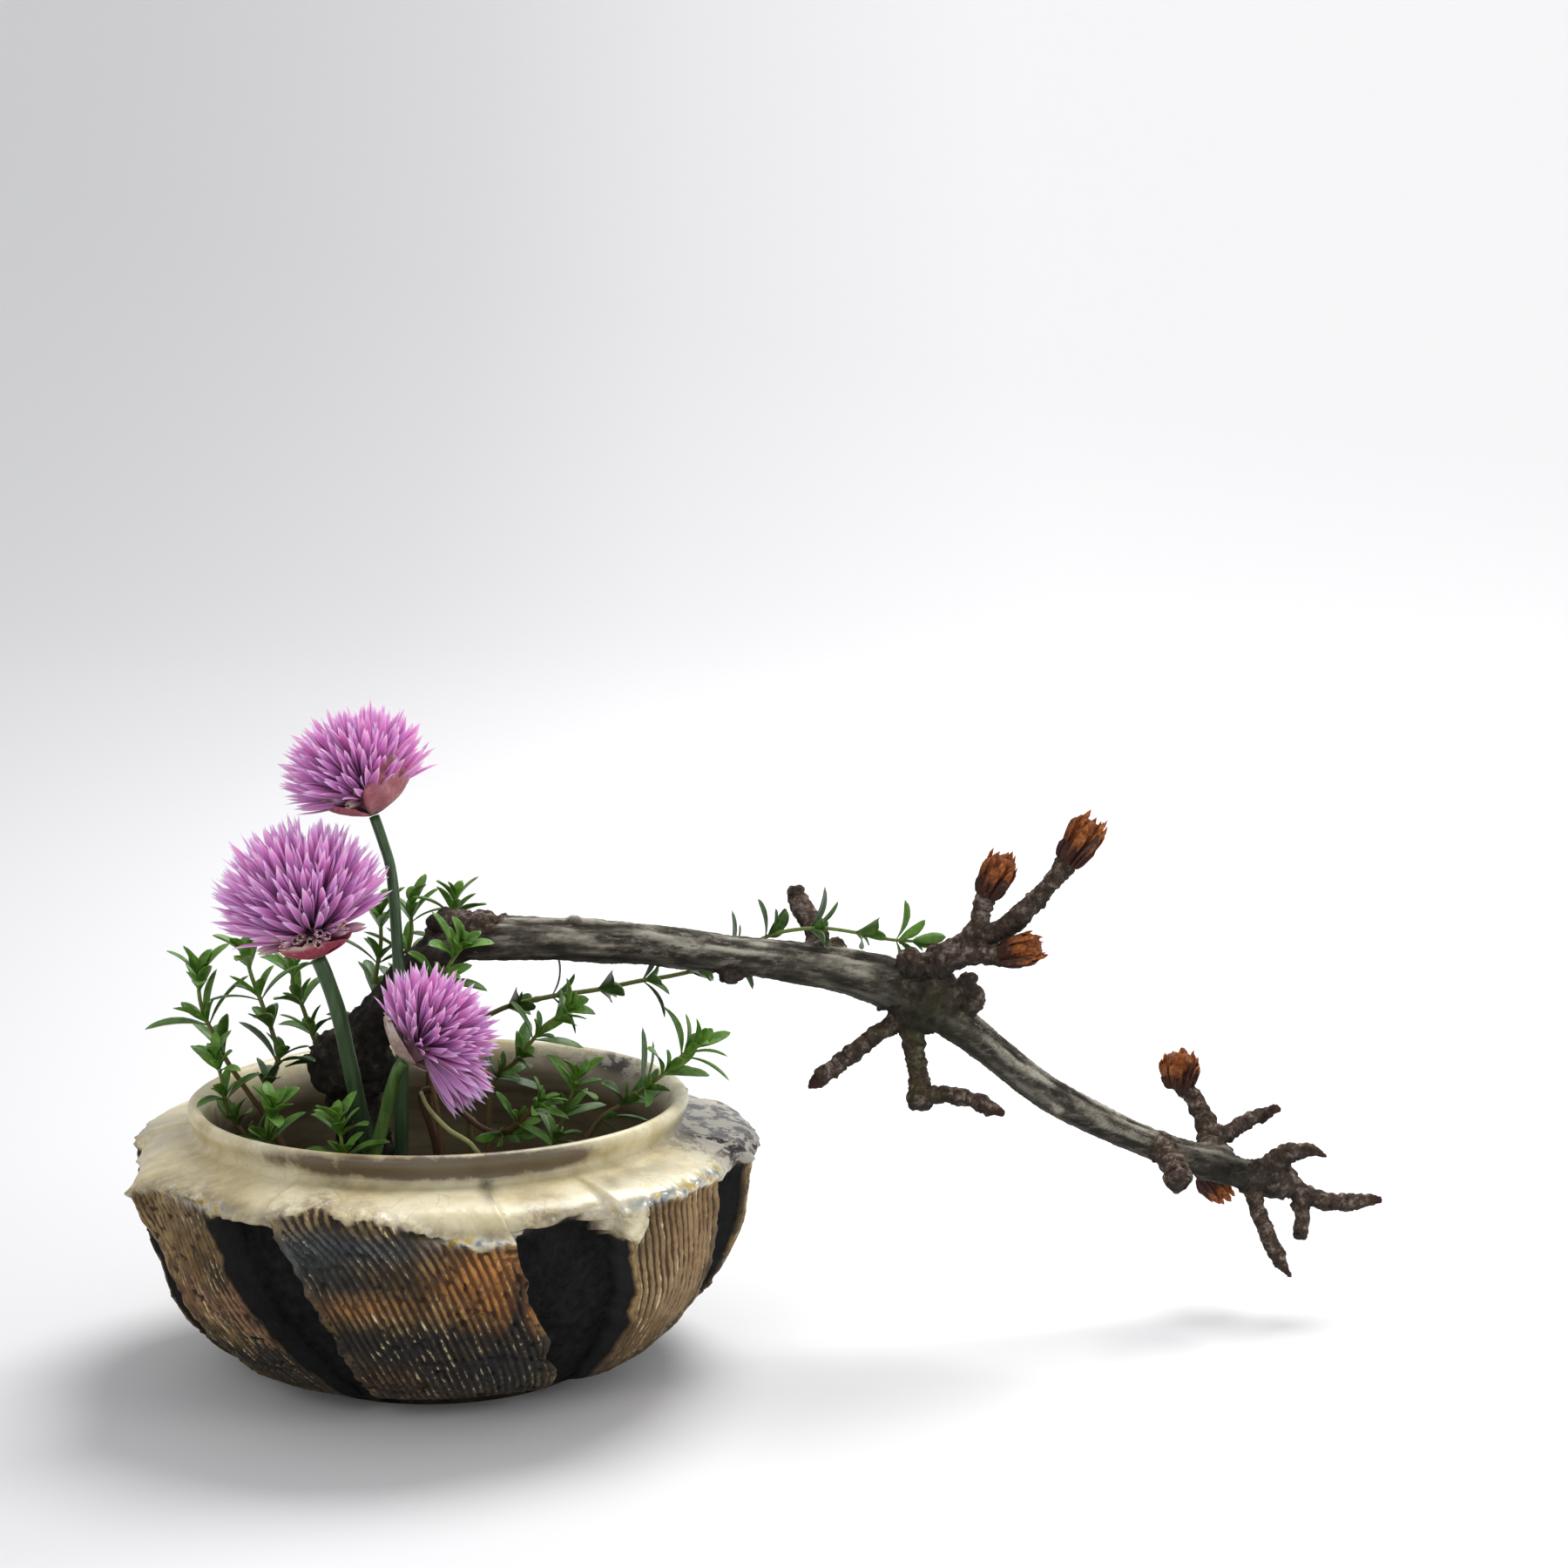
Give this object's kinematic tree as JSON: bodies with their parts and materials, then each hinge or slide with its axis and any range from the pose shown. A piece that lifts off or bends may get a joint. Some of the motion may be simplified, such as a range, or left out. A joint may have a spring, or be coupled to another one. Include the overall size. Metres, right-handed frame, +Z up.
{
  "type": "ikebana arrangement",
  "caption": "Ikebana arrangement of chive flowers, savory sprigs and a long bare branch, standing on a pin holder in a low lobed stoneware bowl.",
  "frame": {"origin": "centre of the bowl's flat foot, on the surface it stands on", "axes": "+X towards the end of the branch, +Y to the back, +Z up"},
  "size_m": [0.2583, 0.1264, 0.1357],
  "materials": {
    "glazed_stoneware": "crackled cream glaze over the lip and shoulder, combed black and gold lustre below",
    "lead_and_brass": "dull grey cast base with brass pins",
    "weathered_bark": "grey weathered bark, rough and fissured",
    "bud_scale": "dry orange-brown scales, matte",
    "chive_stem": "waxy green stem, satin",
    "chive_floret": "thin mauve petals with darker midribs",
    "spathe": "dry papery bract",
    "sprig_leaf": "satin green leaves on a thin stem",
    "dry_stalk": "yellow-green stalk"
  },
  "bodies": {
    "root": {"bare_stalk": "dry_stalk", "bowl": "glazed_stoneware", "branch": "weathered_bark", "bud_front": "bud_scale", "bud_high": "bud_scale", "bud_middle": "bud_scale", "bud_under": "bud_scale", "bud_upright": "bud_scale", "chive_large_flower": "chive_floret", "chive_large_spathe": "spathe", "chive_large_stem": "chive_stem", "chive_small_flower": "chive_floret", "chive_small_spathe": "spathe", "chive_small_stem": "chive_stem", "chive_tall_flower": "chive_floret", "chive_tall_spathe": "spathe", "chive_tall_stem": "chive_stem", "kenzan": "lead_and_brass", "sprig_back_left": "sprig_leaf", "sprig_back_tall": "sprig_leaf", "sprig_bright": "sprig_leaf", "sprig_elbow": "sprig_leaf", "sprig_far_left": "sprig_leaf", "sprig_front_left": "sprig_leaf", "sprig_front_low": "sprig_leaf", "sprig_left_back": "sprig_leaf", "sprig_left_low": "sprig_leaf", "sprig_left_tall": "sprig_leaf", "sprig_over_rim": "sprig_leaf", "sprig_right_inner": "sprig_leaf", "sprig_right_small": "sprig_leaf", "sprig_trailing": "sprig_leaf", "sprig_woody": "sprig_leaf"}
  },
  "joints": []
}
